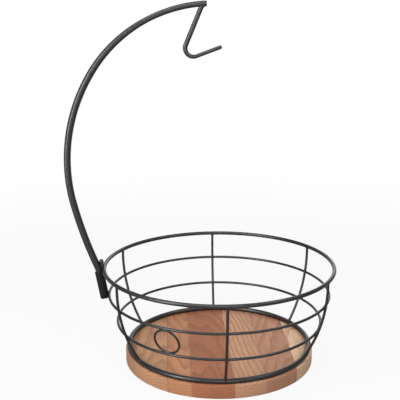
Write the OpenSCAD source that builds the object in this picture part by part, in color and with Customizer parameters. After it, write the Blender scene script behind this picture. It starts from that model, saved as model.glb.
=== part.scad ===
// Fruit bowl with banana hanger: a round wire basket on a wooden base, with a
// plugged-in curved arm that carries a hook above the bowl.
// The origin is at the middle of the base's underside and +Z is up.
// The arm stands at the -X side, so the hanger lies in the plane y = 0.

/* [Wooden base] */
// Width of the wooden base's edge outside the basket's bottom ring
base_edge = 1.6; // [1.2:0.1:12]
// Thickness of the wooden base
base_t = 15.8; // [11:0.1:20]
// Rounding of the base's upper edge
base_top_round = 2.4; // [0.5:0.1:2.6]
// Rounding of the base's lower edge
base_foot_round = 0.8; // [0.4:0.1:1.2]
// Depth of the shallow seat that the basket's bottom ring sits in
ring_seat = 0.3; // [0.1:0.1:0.6]

/* [Basket] */
// Diameter of the rim, measured between wire centres
rim_d = 260; // [252:1:300]
// Height of the rim's wire centre above the table
rim_z = 111.4; // [101:0.1:130]
// Wire diameter of the rim
rim_wire = 4.4; // [3.6:0.1:6]
// Diameter of the bottom ring, measured between wire centres
bottom_ring_d = 207.2; // [196:0.1:208]
// Wire diameter of the bottom ring
bottom_ring_wire = 5.6; // [5:0.1:7]
// Height at which the basket's uprights stand vertical
upright_z = 106.2; // [97:0.1:113]
// Wire diameter of the six uprights
rib_wire = 3; // [2.4:0.1:4]
// Wire diameter of the two hoops
hoop_wire = 3; // [2.4:0.1:4]
// Height of the upper hoop's wire centre
upper_hoop_z = 80.5; // [73:0.1:85]
// Height of the lower hoop's wire centre
lower_hoop_z = 48.6; // [41:0.1:55]
// Wire diameter of the small ring between the hoops
accent_wire = 2.4; // [1.6:0.1:3]
// Depth that crossing wires are pressed into each other by the weld
weld_set = 0.3; // [0.1:0.05:0.6]

/* [Arm socket] */
// Outer diameter of the socket tube
socket_d = 10.2; // [9.2:0.1:12]
// Wall of the socket tube
socket_wall = 1.2; // [0.8:0.1:1.4]
// Length of the socket tube, down from the height of its mouth
socket_len = 31.7; // [24:0.1:40]
// Height of the middle of the socket's mouth
socket_top_z = 105.8; // [103:0.1:107]
// Floor that closes the socket's lower end
socket_floor = 1.5; // [1:0.1:3]
// Gap around the arm's end in the socket
socket_play = 0.2; // [0.1:0.05:0.3]
// Width of the rest that backs the arm at the rim
rest_w = 7; // [5:0.5:9]
// Radius of the rest's rounded head
rest_head_r = 2.5; // [2:0.1:3]
// Height of the rest above the rim's wire centre
rest_rise = 9; // [7:0.5:12]
// Gap between the arm and its rest
rest_play = 0.1; // [0.05:0.05:0.3]

/* [Hanger arm] */
// Diameter of the arm above the socket
arm_d = 7.8; // [6.4:0.1:8]
// Diameter of the arm at its tip
arm_tip_d = 6.1; // [5.4:0.1:7]
// Angle of the upper sweep over which the arm narrows to that, in degrees
arm_taper_turn = 30; // [20:1:40]
// Radius of the bend where the arm leaves the socket
arm_bend_r = 26; // [14:1:30]
// Lean of the arm from vertical after that bend, in degrees
arm_lean = 22.6; // [20:0.1:25]
// Radius of the nearly straight foot of the arm
arm_foot_r = 485; // [400:5:600]
// Angle of the foot, in degrees
arm_foot_turn = 9.1; // [6:0.1:12]
// Radius of the lower sweep
arm_low_r = 188; // [170:1:210]
// Angle of the lower sweep, in degrees
arm_low_turn = 46.4; // [40:0.1:52]
// Radius of the upper sweep
arm_high_r = 154; // [140:1:170]
// Angle of the upper sweep, in degrees
arm_high_turn = 54.8; // [48:0.1:60]

/* [Banana hook] */
// Wire diameter of the hook's shank
hook_wire = 5.3; // [4.4:0.1:5.4]
// Wire diameter of the hook's tail, which the wire narrows to in the bend
hook_tail_wire = 4.2; // [3.6:0.1:4.4]
// Distance from the arm's tip back to the hook's root
hook_root = 4.3; // [3.6:0.1:12]
// Lean of the hook's shank from vertical, in degrees
hook_shank_lean = 23; // [15:0.5:35]
// Straight length of the hook's shank, from the arm's centre line
hook_shank_len = 46.3; // [36:0.1:60]
// Radius of the hook's bend
hook_bend_r = 9; // [6:0.5:14]
// Rise of the hook's tail from level, in degrees
hook_tail_rise = 20; // [10:0.5:35]
// Straight length of the hook's tail
hook_tail_len = 28.8; // [20:0.1:40]

/* [Fixings] */
// Thread diameter of the screws that hold the basket to the base
screw_d = 3; // [2.5:0.5:3]
// Diameter of the countersunk screw heads
screw_head_d = 5.8; // [5:0.1:6]
// How far the screw heads lie below the base's underside
screw_recess = 0.6; // [0.3:0.1:1]
// Depth that the screws reach into the bottom ring
screw_bite = 3.6; // [3:0.1:4]

/* [Hidden] */

METAL = "#2d2b2a";
WOOD = "#c99f72";
STEEL = "#a9abad";
RING_FN = 144;
WIRE_FN = 32;
ARC_FN = 720;
ROD_FN = 48;
// Overshoot of a cut past the surface that it opens
cut = 1;
// Height of the arm's thicker part above the socket's mouth
foot_gap = 0.3;

// Azimuths: the arm is at 180 degrees and the uprights stand every 60 degrees
ARM_AT = 180;
ACCENT_AT = 240;
SCREWS_AT = [90, 210, 330];

// The wooden base is as wide as the ring that stands on it, and its edge
base_d = bottom_ring_d + bottom_ring_wire + 2 * base_edge;

// Basket side: each upright is one arc that is vertical at upright_z and ends
// on the wire centres of the rim and the bottom ring
rim_r = rim_d / 2;
bottom_ring_r = bottom_ring_d / 2;
bottom_ring_z = base_t - ring_seat + bottom_ring_wire / 2;
side_in = rim_r - bottom_ring_r;
side_h = upright_z - bottom_ring_z;
side_r = (side_in * side_in + side_h * side_h) / (2 * side_in);
side_x = rim_r - side_r;
rib_low_angle = -asin(side_h / side_r);
rib_high_angle = asin((rim_z - upright_z) / side_r);

// The hoops lie inside the uprights, pressed in by the weld
hoop_in = (rib_wire + hoop_wire) / 2 - weld_set;
function hoop_r(z) = side_x + sqrt(pow(side_r - hoop_in, 2) - pow(z - upright_z, 2));
upper_hoop_r = hoop_r(upper_hoop_z);
lower_hoop_r = hoop_r(lower_hoop_z);

// The small ring fills the gap between the two hoops in the basket's wall
hoop_gap = norm([upper_hoop_r - lower_hoop_r, upper_hoop_z - lower_hoop_z]);
accent_lean = atan((upper_hoop_r - lower_hoop_r) / (upper_hoop_z - lower_hoop_z));
accent_r = (hoop_gap - hoop_wire - accent_wire) / 2 + weld_set;

// Socket: its side touches the rim and the upper hoop from outside
wall_dist = norm([rim_r - upper_hoop_r, rim_z - upper_hoop_z]);
wall_lean = atan((rim_r - upper_hoop_r) / (rim_z - upper_hoop_z));
socket_lean = wall_lean + asin((rim_wire - hoop_wire) / 2 / wall_dist);
socket_off = (rim_wire + socket_d) / 2 - weld_set;
socket_ref = [rim_r + socket_off * cos(socket_lean), rim_z - socket_off * sin(socket_lean)];
function along(p, lean, len) = [p[0] + len * sin(lean), p[1] + len * cos(lean)];
socket_top = along(socket_ref, socket_lean, (socket_top_z - socket_ref[1]) / cos(socket_lean));
socket_bottom = along(socket_top, socket_lean, -socket_len);
socket_bore = socket_d - 2 * socket_wall;
spigot_d = socket_bore - 2 * socket_play;

// Arm: a small bend and three sweeps, each tangent to the last. bent() is the
// end of an arc of radius r that turns inwards by angle a
function bent(p, lean, r, a) = [p[0] + r * (cos(lean - a) - cos(lean)),
                                p[1] + r * (sin(lean) - sin(lean - a))];
arm_bend_turn = socket_lean - arm_lean;
arm_foot = along(socket_top, socket_lean, foot_gap);
arm_p1 = bent(arm_foot, socket_lean, -arm_bend_r, arm_bend_turn);
arm_p2 = bent(arm_p1, arm_lean, arm_foot_r, arm_foot_turn);
arm_low_lean = arm_lean - arm_foot_turn;
arm_p3 = bent(arm_p2, arm_low_lean, arm_low_r, arm_low_turn);
arm_high_lean = arm_low_lean - arm_low_turn;
arm_p4 = bent(arm_p3, arm_high_lean, arm_high_r, arm_taper_turn);
arm_last_lean = arm_high_lean - arm_taper_turn;
arm_last_turn = arm_high_turn - arm_taper_turn;
ROD_SIDES = 24;
BEND_STEPS = 4;
FOOT_STEPS = 4;
SWEEP_STEPS = 18;
HALF_SWEEP_STEPS = 9;

// A station is [x, z, lean, radius] of one cross-section of a bent rod
function station(p, lean, d) = [p[0], p[1], lean, d / 2];
function stations(p, lean, r, a, n, d0, d1) =
    [for (i = [1:n]) station(bent(p, lean, r, a * i / n), lean - a * i / n, d0 + (d1 - d0) * i / n)];
ARM_STATIONS = concat(
    [station(arm_foot, socket_lean, arm_d)],
    stations(arm_foot, socket_lean, -arm_bend_r, arm_bend_turn, BEND_STEPS, arm_d, arm_d),
    stations(arm_p1, arm_lean, arm_foot_r, arm_foot_turn, FOOT_STEPS, arm_d, arm_d),
    stations(arm_p2, arm_low_lean, arm_low_r, arm_low_turn, SWEEP_STEPS, arm_d, arm_d),
    stations(arm_p3, arm_high_lean, arm_high_r, arm_taper_turn, HALF_SWEEP_STEPS, arm_d, arm_tip_d),
    stations(arm_p4, arm_last_lean, arm_high_r, arm_last_turn, HALF_SWEEP_STEPS, arm_tip_d, arm_tip_d));

// Hook: its axis starts on the arm's centre line, a little back from the tip.
// The shank runs down and outwards, the bend turns under and the tail comes up
hook_back = hook_root / arm_high_r * 180 / PI;
hook_top = bent(arm_p3, arm_high_lean, arm_high_r, arm_high_turn - hook_back);
// The bevel around the tail's end
hook_nose = 0.6;
hook_lean = 180 - hook_shank_lean;
hook_p1 = along(hook_top, hook_lean, hook_shank_len);
hook_turn = 90 + hook_shank_lean + hook_tail_rise;
hook_p2 = bent(hook_p1, hook_lean, -hook_bend_r, -hook_turn);
hook_tail_lean = hook_lean + hook_turn;
hook_p3 = along(hook_p2, hook_tail_lean, hook_tail_len - hook_nose);
hook_end = along(hook_p2, hook_tail_lean, hook_tail_len);
HOOK_STEPS = 16;
HOOK_STATIONS = concat(
    [station(hook_top, hook_lean, hook_wire), station(hook_p1, hook_lean, hook_wire)],
    stations(hook_p1, hook_lean, -hook_bend_r, -hook_turn, HOOK_STEPS, hook_wire, hook_tail_wire),
    [station(hook_p3, hook_tail_lean, hook_tail_wire),
     station(hook_end, hook_tail_lean, hook_tail_wire - 2 * hook_nose)]);

// Rest: its head touches the arm's inner side, less the play between them.
// rest_at is the point of the arm's centre line that is level with the head
rest_head_z = rim_z + rest_rise - rest_head_r;
rest_turn = (rest_head_z - arm_p1[1]) / cos(arm_lean) / arm_foot_r * 180 / PI;
rest_at = bent(arm_p1, arm_lean, arm_foot_r, rest_turn);
rest_lean = arm_lean - rest_turn;
rest_off = arm_d / 2 + rest_play + rest_head_r;
rest_head_x = rest_at[0] - rest_off / cos(rest_lean);
rest_foot_z = socket_top_z;
rest_foot_in = socket_top[0] - socket_d / 2;
rest_foot_out = rest_foot_in + socket_wall;
rest_head_under = 10;
REST_STEPS = 20;

// Screws: the cone of the head is a right angle
screw_cone = (screw_head_d - screw_d) / 2;
screw_top_z = base_t - ring_seat + screw_bite;
screw_slot = 0.7;
screw_slot_deep = 1.5;
hole_play = 0.2;

// Turns a shape drawn in the plane y = 0, with +X outwards, to an azimuth
module facing(azimuth) {
    rotate([0, 0, azimuth])
        children();
}

// Places a shape at a point of that plane, with its +Z leaning outwards
module leaning(p, lean) {
    translate([p[0], 0, p[1]])
        rotate([0, lean, 0])
            children();
}

// A round wire bent to an arc in that plane, from one angle to another
module wire_arc(mid, r, from, to, wire) {
    translate([mid[0], 0, mid[1]])
        rotate([90, 0, 0])
            rotate([0, 0, from])
                rotate_extrude(angle = to - from, $fn = ARC_FN)
                    translate([r, 0])
                        circle(d = wire, $fn = WIRE_FN);
}

// A closed ring of round wire, level at height z
module wire_ring(r, z, wire) {
    translate([0, 0, z])
        rotate_extrude($fn = RING_FN)
            translate([r, 0])
                circle(d = wire, $fn = WIRE_FN);
}

module rim_shape() {
    wire_ring(rim_r, rim_z, rim_wire);
}

module bottom_ring_shape() {
    wire_ring(bottom_ring_r, bottom_ring_z, bottom_ring_wire);
}

module upper_hoop_shape() {
    wire_ring(upper_hoop_r, upper_hoop_z, hoop_wire);
}

module lower_hoop_shape() {
    wire_ring(lower_hoop_r, lower_hoop_z, hoop_wire);
}

// Outline of half the base, with a quarter round at each edge
module base_outline() {
    r = base_d / 2;
    translate([0, base_foot_round])
        square([r, base_t - base_foot_round - base_top_round]);
    square([r - base_foot_round, base_t - base_top_round]);
    square([r - base_top_round, base_t]);
    translate([r - base_foot_round, base_foot_round])
        circle(r = base_foot_round, $fn = WIRE_FN);
    translate([r - base_top_round, base_t - base_top_round])
        circle(r = base_top_round, $fn = WIRE_FN);
}

module wood_base() {
    color(WOOD)
        difference() {
            rotate_extrude($fn = RING_FN)
                base_outline();
            bottom_ring_shape();
            for (a = SCREWS_AT)
                facing(a)
                    translate([bottom_ring_r, 0, 0])
                        screw_hole();
        }
}

// Clearance hole and countersink for one screw
module screw_hole() {
    head = screw_head_d + hole_play;
    shank = screw_d + 2 * hole_play;
    translate([0, 0, -cut])
        cylinder(h = screw_recess + cut, d = head, $fn = ROD_FN);
    translate([0, 0, screw_recess])
        cylinder(h = (head - shank) / 2, d1 = head, d2 = shank, $fn = ROD_FN);
    translate([0, 0, -cut])
        cylinder(h = base_t + 2 * cut, d = shank, $fn = ROD_FN);
}

module bottom_ring() {
    color(METAL)
        difference() {
            bottom_ring_shape();
            for (a = SCREWS_AT)
                facing(a)
                    translate([bottom_ring_r, 0, base_t - ring_seat - cut])
                        cylinder(h = screw_bite + cut + hole_play, d = screw_d, $fn = ROD_FN);
        }
}

module base_screws() {
    color(STEEL)
        for (a = SCREWS_AT)
            facing(a)
                translate([bottom_ring_r, 0, screw_recess])
                    base_screw();
}

// A countersunk screw, head down, with a crossed recess
module base_screw() {
    wide = screw_head_d * 0.6;
    difference() {
        union() {
            cylinder(h = screw_cone, d1 = screw_head_d, d2 = screw_d, $fn = ROD_FN);
            cylinder(h = screw_top_z - screw_recess, d = screw_d - hole_play / 2, $fn = ROD_FN);
        }
        for (turn = [0, 90])
            rotate([0, 0, turn])
                translate([-wide / 2, -screw_slot / 2, -cut])
                    cube([wide, screw_slot, screw_slot_deep + cut]);
    }
}

module lower_hoop() {
    color(METAL)
        lower_hoop_shape();
}

module upper_hoop() {
    color(METAL)
        upper_hoop_shape();
}

module rim_ring() {
    color(METAL)
        rim_shape();
}

// One upright, fitted to the rings that it is welded to
module rib(azimuth) {
    color(METAL)
        difference() {
            facing(azimuth)
                wire_arc([side_x, upright_z], side_r, rib_low_angle, rib_high_angle, rib_wire);
            rim_shape();
            upper_hoop_shape();
            lower_hoop_shape();
            bottom_ring_shape();
        }
}

// The small ring stands in the basket's wall and touches both hoops
module accent_ring() {
    mid = [(upper_hoop_r + lower_hoop_r) / 2, (upper_hoop_z + lower_hoop_z) / 2];
    color(METAL)
        difference() {
            facing(ACCENT_AT)
                leaning(mid, 90 + accent_lean)
                    wire_ring(accent_r, 0, accent_wire);
            upper_hoop_shape();
            lower_hoop_shape();
        }
}

module socket_tube_shape() {
    facing(ARM_AT)
        leaning(socket_bottom, socket_lean)
            cylinder(h = socket_len, d = socket_d, $fn = ROD_FN);
}

module arm_socket() {
    color(METAL)
        difference() {
            socket_tube_shape();
            facing(ARM_AT)
                leaning(socket_bottom, socket_lean)
                    translate([0, 0, socket_floor])
                        cylinder(h = socket_len, d = socket_bore, $fn = ROD_FN);
            rim_shape();
            upper_hoop_shape();
        }
}

// Points of an arc in a drawing, from one angle to another
function arc_points(mid, r, from, to, n) =
    [for (i = [0:n]) let (a = from + (to - from) * i / n) [mid[0] + r * cos(a), mid[1] + r * sin(a)]];

// Side view of the rest: a round head on a foot that stands on the socket
module rest_side() {
    polygon(concat([[rest_foot_in, rest_foot_z], [rest_foot_out, rest_foot_z]],
                   arc_points([rest_head_x, rest_head_z], rest_head_r,
                              -rest_head_under, 180 + rest_head_under, REST_STEPS)));
}

// Front view of the rest: straight sides under a rounded top
module rest_front() {
    round_r = rest_w / 2;
    shoulder = rest_head_z + rest_head_r - round_r;
    polygon(concat([[-round_r, rest_foot_z - cut], [round_r, rest_foot_z - cut]],
                   arc_points([0, shoulder], round_r, 0, 180, REST_STEPS)));
}

module arm_rest() {
    arm_way = arm_d / 2 + rest_play;
    color(METAL)
        difference() {
            facing(ARM_AT)
                intersection() {
                    rotate([90, 0, 0])
                        translate([0, 0, -rest_w / 2])
                            linear_extrude(rest_w)
                                rest_side();
                    rotate([90, 0, 90])
                        translate([0, 0, rest_foot_in - rest_w])
                            linear_extrude(3 * rest_w)
                                rest_front();
                }
            rim_shape();
            socket_tube_shape();
            facing(ARM_AT)
                leaning(rest_at, rest_lean)
                    translate([0, 0, -socket_len])
                        cylinder(h = 2 * socket_len, r = arm_way, $fn = ROD_FN);
        }
}

// Corner of a rod's cross-section at one station
function rod_corner(s, a) = [s[0] + s[3] * cos(a) * cos(s[2]), s[3] * sin(a),
                             s[1] - s[3] * cos(a) * sin(s[2])];

// A bent rod: its cross-sections are joined from station to station
module rod_sweep(rod) {
    n = len(rod);
    corners = [for (s = rod, j = [0:ROD_SIDES - 1]) rod_corner(s, 360 * j / ROD_SIDES)];
    sides = [for (i = [0:n - 2], j = [0:ROD_SIDES - 1])
        let (k = (j + 1) % ROD_SIDES, a = i * ROD_SIDES, b = a + ROD_SIDES)
            [a + j, b + j, b + k, a + k]];
    low_end = [for (j = [0:ROD_SIDES - 1]) j];
    high_end = [for (j = [ROD_SIDES - 1:-1:0]) (n - 1) * ROD_SIDES + j];
    polyhedron(points = corners, faces = concat([low_end, high_end], sides));
}

module hanger_arm() {
    color(METAL)
        facing(ARM_AT) {
            leaning(socket_bottom, socket_lean)
                translate([0, 0, socket_floor])
                    cylinder(h = socket_len - socket_floor + foot_gap + cut, d = spigot_d, $fn = ROD_FN);
            rod_sweep(ARM_STATIONS);
        }
}

// The hook's root is fitted to the underside of the arm's tip
module banana_hook() {
    color(METAL)
        facing(ARM_AT)
            difference() {
                rod_sweep(HOOK_STATIONS);
                rod_sweep(ARM_STATIONS);
            }
}

wood_base();
bottom_ring();
lower_hoop();
upper_hoop();
rim_ring();
rib(270);  // rib_front
rib(330);  // rib_front_right
rib(30);  // rib_back_right
rib(90);  // rib_back
rib(150);  // rib_back_left
rib(210);  // rib_front_left
accent_ring();
arm_socket();
arm_rest();
hanger_arm();
banana_hook();
base_screws();
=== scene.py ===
"""Looks of the fruit bowl with banana hanger, built around its packed model.

The file is laid out as a Blender add-on and is run as a script. Sizes are in
metres. The hanger stands at azimuth 180 degrees, in the plane y = 0. A place in
an upright plane through the bowl's axis is (x, z), with x measured outwards.
"""

import math

import bpy
import numpy as np
from bpy.props import FloatProperty, FloatVectorProperty, PointerProperty
from mathutils import Matrix, Vector


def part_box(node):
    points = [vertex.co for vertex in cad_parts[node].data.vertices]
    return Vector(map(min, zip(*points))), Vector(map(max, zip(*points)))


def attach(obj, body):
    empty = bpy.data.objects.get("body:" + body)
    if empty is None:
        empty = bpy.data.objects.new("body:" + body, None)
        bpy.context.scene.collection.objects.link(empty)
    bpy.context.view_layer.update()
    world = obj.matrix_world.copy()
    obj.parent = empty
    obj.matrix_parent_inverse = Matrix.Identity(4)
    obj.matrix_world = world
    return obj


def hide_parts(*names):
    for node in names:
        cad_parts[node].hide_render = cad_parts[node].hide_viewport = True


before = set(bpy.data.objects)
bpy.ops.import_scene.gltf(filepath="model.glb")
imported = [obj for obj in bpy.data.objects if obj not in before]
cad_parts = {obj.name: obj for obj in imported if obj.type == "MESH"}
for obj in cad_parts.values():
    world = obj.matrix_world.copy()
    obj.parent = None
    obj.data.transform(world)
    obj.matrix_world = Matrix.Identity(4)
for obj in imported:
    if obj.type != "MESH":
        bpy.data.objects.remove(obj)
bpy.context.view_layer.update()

bl_info = {
    "name": "Wire fruit bowl with banana hanger",
    "version": (1, 0, 0),
    "blender": (4, 5, 0),
    "location": "View3D > Sidebar > Fruit bowl",
    "description": "Builds the finished surfaces of a wire fruit bowl",
    "category": "Add Mesh",
}

BODY = "root"
UP = np.array([0.0, 0.0, 1.0])
ARM_AT = math.radians(180)
ACCENT_AT = math.radians(240)
UPRIGHTS = dict(zip(
    ("rib_front", "rib_front_right", "rib_back_right", "rib_back", "rib_back_left",
     "rib_front_left"),
    np.radians((270, 330, 30, 90, 150, 210))))
SCREWS_AT = np.radians((90, 210, 330))
# Where the wire of each ring is joined, in degrees round the ring
SEAMS = {"rim_ring": 80, "upper_hoop": 62, "lower_hoop": 118, "bottom_ring": 278.5}
SMALL_SEAM = 200

# How finely the surfaces are divided: steps along or round each, and gaps between rows
RING_STEPS, SMALL_RING_STEPS, UPRIGHT_STEPS, BASE_STEPS = 720, 160, 96, 360
WIRE_SIDES, SOCKET_SIDES, ARM_SIDES, HOOK_SIDES, HOLE_SIDES = 28, 64, 40, 36, 48
ARM_GAP, HOOK_GAP = 0.0012, 0.0008
SHARP = math.radians(35)

# Half sizes of the weld lenses: along the first wire, along the second and through both
CROSSING_LENS = (0.00195, 0.00185, 0.00085)
SMALL_RING_LENS = (0.0033, 0.0011, 0.0009)
RIM_LENS = (0.0031, 0.00248, 0.00155)
HOOP_LENS = (0.0026, 0.00208, 0.0013)
REST_LENS = (0.0032, 0.0011, 0.0011)

# Lights: place, width and height, and power in watts. All face one point over the bowl
LIT_POINT = (-0.02, 0.0, 0.16)
LAMPS = {
    "key_light": ((-0.85, -0.68, 0.47), (0.28, 1.0), 7.8),
    "front_light": ((0.15, -1.7, 0.5), (0.9, 0.7), 6.0),
    "top_light": ((-0.3, -0.42, 1.45), (1.0, 0.3), 6.0),
    "back_light": ((0.5, 1.5, 0.8), (1.0, 0.8), 4.0),
    "fill_light": ((0.9, -0.5, 1.3), (0.6, 0.6), 5.0),
}


def ring_size(name):
    """Radius to the wire's centre, height of that centre and wire diameter of a level ring."""
    low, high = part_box(name)
    wire = high.z - low.z
    return (high.x - low.x - wire) / 2, (high.z + low.z) / 2, wire


RIM_R, RIM_Z, RIM_WIRE = ring_size("rim_ring")
UPPER_R, UPPER_Z, HOOP_WIRE = ring_size("upper_hoop")
LOWER_R, LOWER_Z = ring_size("lower_hoop")[:2]
FOOT_R, FOOT_Z, FOOT_WIRE = ring_size("bottom_ring")
BASE_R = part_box("wood_base")[1].x
BASE_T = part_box("wood_base")[1].z


def linear(red, green, blue):
    """The linear values of a screen colour whose parts go from 0 to 255."""
    part = np.array([red, green, blue]) / 255
    return tuple(np.where(part > 0.04045, ((part + 0.055) / 1.055) ** 2.4, part / 12.92).tolist())


def length(name, description, default):
    """A property that holds a length in metres."""
    return FloatProperty(name=name, description=description, default=default, min=0.0,
                         precision=5, unit="LENGTH", subtype="DISTANCE")


def angle(name, description, degrees):
    """A property that holds an angle, given here in degrees."""
    return FloatProperty(name=name, description=description, default=math.radians(degrees),
                         unit="ROTATION", subtype="ANGLE")


def share(name, description, default):
    """A property that holds a number from 0 to 1."""
    return FloatProperty(name=name, description=description, default=default,
                         min=0.0, max=1.0, subtype="FACTOR")


def tone(name, description, red, green, blue):
    """A property that holds a colour, given here as a screen colour."""
    return FloatVectorProperty(name=name, description=description, size=3, min=0.0, max=1.0,
                               default=linear(red, green, blue), subtype="COLOR")


class BowlBasket(bpy.types.PropertyGroup):
    """Sizes of the wire basket."""

    upright_wire: length("Upright wire", "Diameter of the six uprights", 0.003)
    upright_z: length("Upright height", "Height at which the uprights stand vertical", 0.1062)
    accent_wire: length("Small ring wire", "Wire diameter of the small ring", 0.0024)
    weld_set: length("Weld set", "How far crossing wires are pressed into each other", 0.0003)
    weld_leg: length("Weld leg", "Reach of the weld around a wire's end", 0.0008)


class BowlHanger(bpy.types.PropertyGroup):
    """Sizes of the socket, the arm and the hook."""

    socket_d: length("Socket diameter", "Outer diameter of the socket tube", 0.0102)
    socket_wall: length("Socket wall", "Wall of the socket tube", 0.0012)
    socket_len: length("Socket length", "Length of the socket tube", 0.0317)
    socket_top_z: length("Mouth height", "Height of the middle of the socket's mouth", 0.1058)
    socket_floor: length("Socket floor", "Floor that closes the socket's lower end", 0.0015)
    socket_play: length("Socket play", "Gap around the arm's end in the socket", 0.0002)
    rest_w: length("Rest width", "Width of the rest that backs the arm", 0.007)
    rest_head_r: length("Rest head radius", "Radius of the rest's rounded head", 0.0025)
    rest_rise: length("Rest rise", "Height of the rest above the rim's centre", 0.009)
    rest_play: length("Rest play", "Gap between the arm and its rest", 0.0001)
    foot_gap: length("Foot gap", "Height of the arm's thick part above the mouth", 0.0003)
    arm_d: length("Arm diameter", "Diameter of the arm above the socket", 0.0078)
    arm_tip_d: length("Tip diameter", "Diameter of the arm at its tip", 0.0061)
    taper_turn: angle("Taper angle", "Angle of the upper sweep over which the arm narrows", 30)
    bend_r: length("Bend radius", "Radius of the bend just above the socket", 0.026)
    arm_lean: angle("Arm lean", "Lean of the arm from vertical after that bend", 22.6)
    foot_r: length("Foot radius", "Radius of the nearly straight foot of the arm", 0.485)
    foot_turn: angle("Foot angle", "Angle of the foot", 9.1)
    low_r: length("Lower sweep radius", "Radius of the lower sweep", 0.188)
    low_turn: angle("Lower sweep angle", "Angle of the lower sweep", 46.4)
    high_r: length("Upper sweep radius", "Radius of the upper sweep", 0.154)
    high_turn: angle("Upper sweep angle", "Angle of the upper sweep", 54.8)
    hook_wire: length("Hook wire", "Wire diameter of the hook's shank", 0.0053)
    tail_wire: length("Tail wire", "Wire diameter of the hook's tail", 0.0042)
    hook_root: length("Hook root", "Distance from the arm's tip back to the hook's root", 0.0043)
    shank_lean: angle("Shank lean", "Lean of the hook's shank from vertical", 23)
    shank_len: length("Shank length", "Straight length of the hook's shank", 0.0463)
    hook_bend_r: length("Hook bend radius", "Radius of the hook's bend", 0.009)
    tail_rise: angle("Tail rise", "Rise of the hook's tail from level", 20)
    tail_len: length("Tail length", "Straight length of the hook's tail", 0.0288)
    hook_weld: length("Hook weld", "Reach of the weld around the hook's root", 0.0011)
    lip_round: length("Lip rounding", "Rounding of the socket's lips", 0.0003)
    arm_round: length("Arm end bevel", "Bevel of the arm's ends", 0.00025)
    tail_round: length("Tail end rounding", "Rounding of the hook's free end", 0.0017)


class BowlWood(bpy.types.PropertyGroup):
    """Sizes and tones of the wooden base."""

    top_round: length("Upper rounding", "Rounding of the base's upper edge", 0.0024)
    foot_round: length("Lower rounding", "Rounding of the base's lower edge", 0.0008)
    seat_play: length("Seat play", "Gap beside the bottom ring in its seat", 0.00004)
    screw_head_r: length("Screw head radius", "Radius of a screw hole's wide end", 0.003)
    screw_r: length("Screw hole radius", "Radius of a screw hole's shank", 0.0017)
    screw_sink: length("Screw depth", "Depth of a screw hole's wide end", 0.0006)
    cream: tone("Cream stave", "Palest sapwood stave", 250, 210, 174)
    light: tone("Light stave", "Light pinkish stave", 214, 164, 130)
    fawn: tone("Fawn stave", "Greyish tan stave", 192, 146, 116)
    tan: tone("Tan stave", "Tan stave", 206, 156, 120)
    honey: tone("Honey stave", "Warm orange tan stave", 206, 146, 106)
    rosy: tone("Rosy stave", "Reddish stave", 204, 150, 120)
    brown: tone("Brown stave", "Darkest stave", 184, 120, 88)
    late: tone("Late wood", "Colour that the growth rings darken to", 138, 84, 56)
    glue: tone("Glue line", "Colour of the joints between the staves", 96, 58, 38)
    glue_w: length("Glue line width", "Width of the joints between the staves", 0.0003)
    ring_gap: length("Growth ring gap", "Distance between two growth rings", 0.0031)
    figure: share("Figure", "How strongly the growth rings show", 0.42)
    roughness: share("Roughness", "Roughness of the oiled wood", 0.58)


class BowlCoat(bpy.types.PropertyGroup):
    """Looks of the black powder coat and of the screws."""

    black: tone("Coat colour", "Colour of the powder coat", 23, 21, 21)
    gloss: share("Coat roughness", "Roughness of the powder coat on wires and arm", 0.38)
    matt: share("Socket roughness", "Roughness of the matter coat on the socket", 0.55)
    sheen: share("Coat sheen", "Specular level of the powder coat on wires and arm", 1.0)
    matt_sheen: share("Socket sheen", "Specular level of the matter coat on the socket", 0.3)
    grain: length("Coat grain", "Width of the coat's fine bumps", 0.0008)
    relief: length("Coat relief", "Height of the coat's fine bumps", 0.000001)
    zinc: tone("Screw colour", "Colour of the zinc-plated screws", 190, 192, 196)


class BowlStage(bpy.types.PropertyGroup):
    """Camera, floor and lights."""

    camera_at: FloatVectorProperty(name="Camera", description="Place of the camera", size=3,
                                   default=(-0.0582, -0.8646, 0.4006), subtype="TRANSLATION")
    pitch: angle("Pitch", "How far the camera looks down", 13.82)
    yaw: angle("Yaw", "How far the camera turns towards +X", 2.44)
    roll: angle("Roll", "Roll of the camera about its view", -0.21)
    lens: FloatProperty(name="Lens", description="Focal length in mm on a 36 mm sensor",
                        default=71.83)
    floor_r: length("Floor radius", "Radius of the round white floor", 4.0)
    floor_fade: length("Floor fade", "Radius at which the floor is plain white", 1.2)
    floor_near: length("Floor near", "Radius at which the floor starts to fade", 0.35)
    floor_glow: share("Floor glow", "Share of plain white in the floor near the bowl", 0.89)
    floor_tone: share("Floor tone", "Share of its light that the floor shows the camera", 0.8)
    floor_bounce: share("Floor bounce", "Share of its light that the floor sends back up", 0.35)
    ambient: share("Ambient", "Strength of the light from all around", 0.2)
    room: share("Room", "Brightness to which the backdrop that gloss shows falls off", 0.1)


GROUPS = {
    "bowl_basket": BowlBasket,
    "bowl_hanger": BowlHanger,
    "bowl_wood": BowlWood,
    "bowl_coat": BowlCoat,
    "bowl_stage": BowlStage,
}


def outward(azimuth):
    """Level unit vector from the bowl's axis towards an azimuth."""
    return np.array([math.cos(azimuth), math.sin(azimuth), 0.0])


def sideways(azimuth):
    """Level unit vector square to that, towards rising azimuths."""
    return np.array([-math.sin(azimuth), math.cos(azimuth), 0.0])


def placed(azimuth, x, z):
    """Points or vectors (x, z) of the upright plane at an azimuth, in three dimensions."""
    return np.multiply.outer(x, outward(azimuth)) + np.multiply.outer(z, UP)


def heading(azimuth, lean):
    """Unit vector in the upright plane at an azimuth, leaning outwards from vertical."""
    return placed(azimuth, np.sin(lean), np.cos(lean))


def rounding(x, z, r, start, end, count=9):
    """Points (x + r cos a, z + r sin a) of an arc, for angles a in degrees."""
    a = np.radians(np.linspace(start, end, count))
    return np.stack([x + r * np.cos(a), z + r * np.sin(a)], axis=1)


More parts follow.
